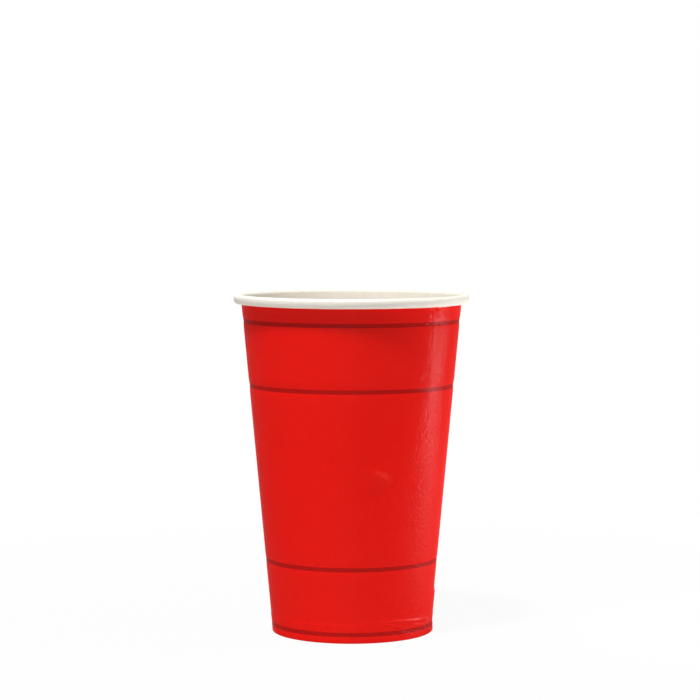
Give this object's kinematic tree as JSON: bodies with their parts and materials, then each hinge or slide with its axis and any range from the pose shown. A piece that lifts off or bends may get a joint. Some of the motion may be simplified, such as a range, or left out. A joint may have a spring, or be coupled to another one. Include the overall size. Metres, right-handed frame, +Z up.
{
  "type": "paper event cup",
  "caption": "Tapered single-wall paper cup with an outward-rolled rim, a lapped side seam, dark stripes on red print and a base disc held in a folded foot.",
  "frame": {"origin": "middle of the foot, on the surface that the cup stands on", "axes": "+Z up along the cup's axis, -Y the front that the picture shows, +X to its right; the side seam is 105 degrees round from the front towards +X"},
  "size_m": [0.09, 0.09, 0.1294],
  "materials": {
    "printed_board": "smooth coated board, printed glossy red with darker red stripes outside, bare off-white inside and on the rim",
    "plain_board": "smooth coated off-white board"
  },
  "bodies": {
    "root": {"sidewall": "printed_board", "base_disc": "plain_board"}
  },
  "joints": []
}
